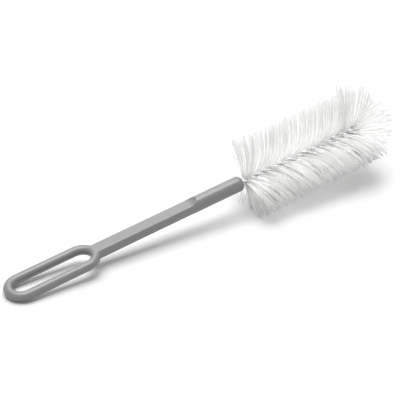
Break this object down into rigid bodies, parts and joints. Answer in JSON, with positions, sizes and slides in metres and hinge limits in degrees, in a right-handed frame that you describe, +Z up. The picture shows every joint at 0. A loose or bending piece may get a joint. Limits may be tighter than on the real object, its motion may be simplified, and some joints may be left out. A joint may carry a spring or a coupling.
{
  "type": "bottle brush",
  "caption": "Bottle brush with a grey moulded handle, a hanging loop, a twisted wire core and a head of swept white bristles.",
  "frame": {"origin": "centre of the bounding box in X and Y, on the surface that the brush lies on", "axes": "+X along the brush from the hanging loop to the bristle tip, +Z up, +Y to the left when looking along +X"},
  "size_m": [0.3372, 0.064, 0.078],
  "materials": {
    "grey_plastic": "neutral grey moulded plastic with a satin surface",
    "steel_wire": "drawn galvanised steel wire",
    "white_nylon": "translucent white nylon filaments"
  },
  "bodies": {
    "root": {"handle": "grey_plastic", "twisted_wire": "steel_wire", "bristles": "white_nylon"}
  },
  "joints": []
}
